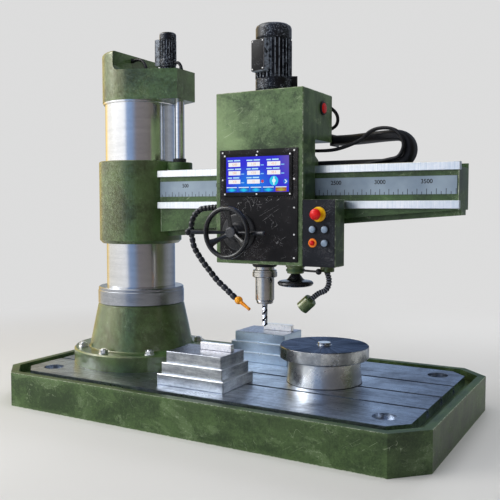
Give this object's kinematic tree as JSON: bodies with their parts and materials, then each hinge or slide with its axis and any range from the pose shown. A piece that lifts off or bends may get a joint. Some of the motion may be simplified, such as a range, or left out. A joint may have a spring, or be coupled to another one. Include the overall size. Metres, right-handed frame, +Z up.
{
  "type": "radial arm drill",
  "caption": "Radial arm drill: slotted base, chromed swinging column, arm raised by a screw, and a travelling drill head with quill, handwheels, levers, lamp, coolant hose and screen.",
  "frame": {"origin": "centre of the base on the floor", "axes": "+X along the base from the column towards the arm's free end, +Y to the back, +Z up; the control side faces -Y"},
  "size_m": [2.5, 1.38, 2.151],
  "materials": {
    "green_enamel": "worn semi-gloss enamel",
    "black_enamel": "black semi-gloss paint",
    "bright_steel": "ground",
    "table_steel": "planed, mottled",
    "worn_steel": "milled, worn",
    "dark_steel": "blackened, worn bright at the grips",
    "tool_steel": "ground",
    "chrome_plate": "polished",
    "grey_iron": "cast and machined",
    "satin_aluminium": "satin",
    "black_rubber": "matt",
    "black_plastic": "satin",
    "dark_plastic": "gloss",
    "blue_plastic": "gloss",
    "red_plastic": "gloss",
    "yellow_plastic": "satin",
    "orange_plastic": "satin",
    "screen_glass": "display behind glass",
    "milk_glass": "frosted"
  },
  "bodies": {
    "base": {"base_casting": "green_enamel", "table_plate": "table_steel", "column_foot": "green_enamel", "foot_bolts": "bright_steel", "clamp_ring": "chrome_plate", "inner_pillar": "grey_iron", "pillar_bearings": "bright_steel", "step_blocks": "worn_steel", "round_table_base": "worn_steel"},
    "round_table": {"round_table_top": "table_steel"},
    "column": {"column_tube": "chrome_plate", "cap_lip": "chrome_plate", "column_cap": "green_enamel", "elevating_motor": "black_enamel", "cap_cables": "black_rubber"},
    "screw": {"elevating_screw": "bright_steel"},
    "arm": {"arm_sleeve": "green_enamel", "arm_beam": "green_enamel", "guide_rails": "bright_steel", "ruler_plate": "satin_aluminium", "screw_nut": "black_enamel", "conduit_clamp": "black_enamel", "energy_conduit": "black_rubber", "twin_cables": "black_rubber"},
    "head": {"head_housing": "green_enamel", "head_saddle": "green_enamel", "front_panel": "black_enamel", "panel_screws": "bright_steel", "screen_bezel": "black_plastic", "screen": "screen_glass", "control_box": "green_enamel", "control_panel": "black_enamel", "e_stop_collar": "yellow_plastic", "button_rings": "black_plastic", "main_motor": "black_enamel", "motor_cowl": "black_enamel", "spindle_seal": "black_rubber", "fine_feed_boss": "green_enamel", "lamp_boss": "green_enamel", "coolant_hose": "black_plastic", "conduit_bracket": "black_enamel", "cable_loop": "black_rubber"},
    "capstan": {"capstan_hub": "grey_iron", "capstan_levers": "dark_steel"},
    "handwheel": {"traverse_handwheel": "dark_plastic"},
    "quill": {"quill": "bright_steel"},
    "spindle": {"spindle_nose": "bright_steel", "drill_bit": "tool_steel"},
    "fine_feed": {"fine_feed_wheel": "dark_plastic"},
    "clutch": {"clutch_lever": "dark_plastic"},
    "start": {"start_button": "blue_plastic"},
    "jog": {"jog_button": "blue_plastic"},
    "reset": {"reset_button": "blue_plastic"},
    "stop": {"stop_button": "red_plastic"},
    "e_stop": {"e_stop_button": "red_plastic"},
    "side": {"side_button": "red_plastic"},
    "lamp": {"lamp_arm": "black_enamel", "lamp_shade": "green_enamel", "lamp_bulb": "milk_glass"},
    "nozzle": {"coolant_nozzle": "orange_plastic"}
  },
  "joints": [
    {"name": "column_swing", "type": "hinge", "parent": "base", "child": "column", "pos_m": [-0.712, 0, 1.2], "axis": [0, 0, 1], "range_deg": [-170, 170]},
    {"name": "round_table_turn", "type": "hinge", "parent": "base", "child": "round_table", "pos_m": [0.508, 0.021, 0.35], "axis": [0, 0, 1], "continuous": true},
    {"name": "arm_lift", "type": "slide", "parent": "column", "child": "arm", "axis": [0, 0, 1], "range_m": [-0.18, 0.33]},
    {"name": "screw_turn", "type": "hinge", "parent": "column", "child": "screw", "pos_m": [-0.419, 0, 1.4], "axis": [0, 0, 1], "range_deg": [-5401, 9901]},
    {"name": "head_traverse", "type": "slide", "parent": "arm", "child": "head", "axis": [1, 0, 0], "range_m": [-0.35, 0.62], "deforming": ["energy_conduit", "twin_cables"]},
    {"name": "handwheel_turn", "type": "hinge", "parent": "head", "child": "handwheel", "pos_m": [0.15, -0.4, 0.992], "axis": [0, 1, 0], "range_deg": [-803, 1422]},
    {"name": "quill_feed", "type": "slide", "parent": "head", "child": "quill", "axis": [0, 0, -1], "range_m": [0, 0.3]},
    {"name": "capstan_turn", "type": "hinge", "parent": "head", "child": "capstan", "pos_m": [0.15, -0.335, 0.992], "axis": [0, -1, 0], "range_deg": [0, 890]},
    {"name": "spindle_spin", "type": "hinge", "parent": "quill", "child": "spindle", "pos_m": [0.258, -0.19, 0.7], "axis": [0, 0, 1], "continuous": true},
    {"name": "fine_feed_turn", "type": "hinge", "parent": "head", "child": "fine_feed", "pos_m": [0.437, -0.19, 0.749], "axis": [0, 0, 1], "continuous": true},
    {"name": "clutch_throw", "type": "hinge", "parent": "head", "child": "clutch", "pos_m": [0.437, -0.19, 0.8], "axis": [0, 0, 1], "range_deg": [-35, 0]},
    {"name": "lamp_swivel", "type": "hinge", "parent": "head", "child": "lamp", "pos_m": [0.605, -0.17, 0.796], "axis": [0, 0, 1], "range_deg": [-60, 60]},
    {"name": "nozzle_tilt", "type": "hinge", "parent": "head", "child": "nozzle", "pos_m": [0.144, -0.268, 0.633], "axis": [0, 1, 0], "range_deg": [-20, 20]},
    {"name": "start_press", "type": "slide", "parent": "head", "child": "start", "axis": [0, 1, 0], "range_m": [0, 0.004], "stiffness_N_per_m": 400},
    {"name": "jog_press", "type": "slide", "parent": "head", "child": "jog", "axis": [0, 1, 0], "range_m": [0, 0.004], "stiffness_N_per_m": 400},
    {"name": "reset_press", "type": "slide", "parent": "head", "child": "reset", "axis": [0, 1, 0], "range_m": [0, 0.004], "stiffness_N_per_m": 400},
    {"name": "stop_press", "type": "slide", "parent": "head", "child": "stop", "axis": [0, 1, 0], "range_m": [0, 0.004], "stiffness_N_per_m": 400},
    {"name": "e_stop_press", "type": "slide", "parent": "head", "child": "e_stop", "axis": [0, 1, 0], "range_m": [0, 0.006], "stiffness_N_per_m": 900},
    {"name": "side_press", "type": "slide", "parent": "head", "child": "side", "axis": [-1, 0, 0], "range_m": [0, 0.004], "stiffness_N_per_m": 500}
  ],
  "couplings": [
    {"joint": "screw_turn", "follows": "arm_lift", "rad_per_m": 523.6},
    {"joint": "handwheel_turn", "follows": "head_traverse", "rad_per_m": 40},
    {"joint": "capstan_turn", "follows": "quill_feed", "rad_per_m": 51.5}
  ]
}
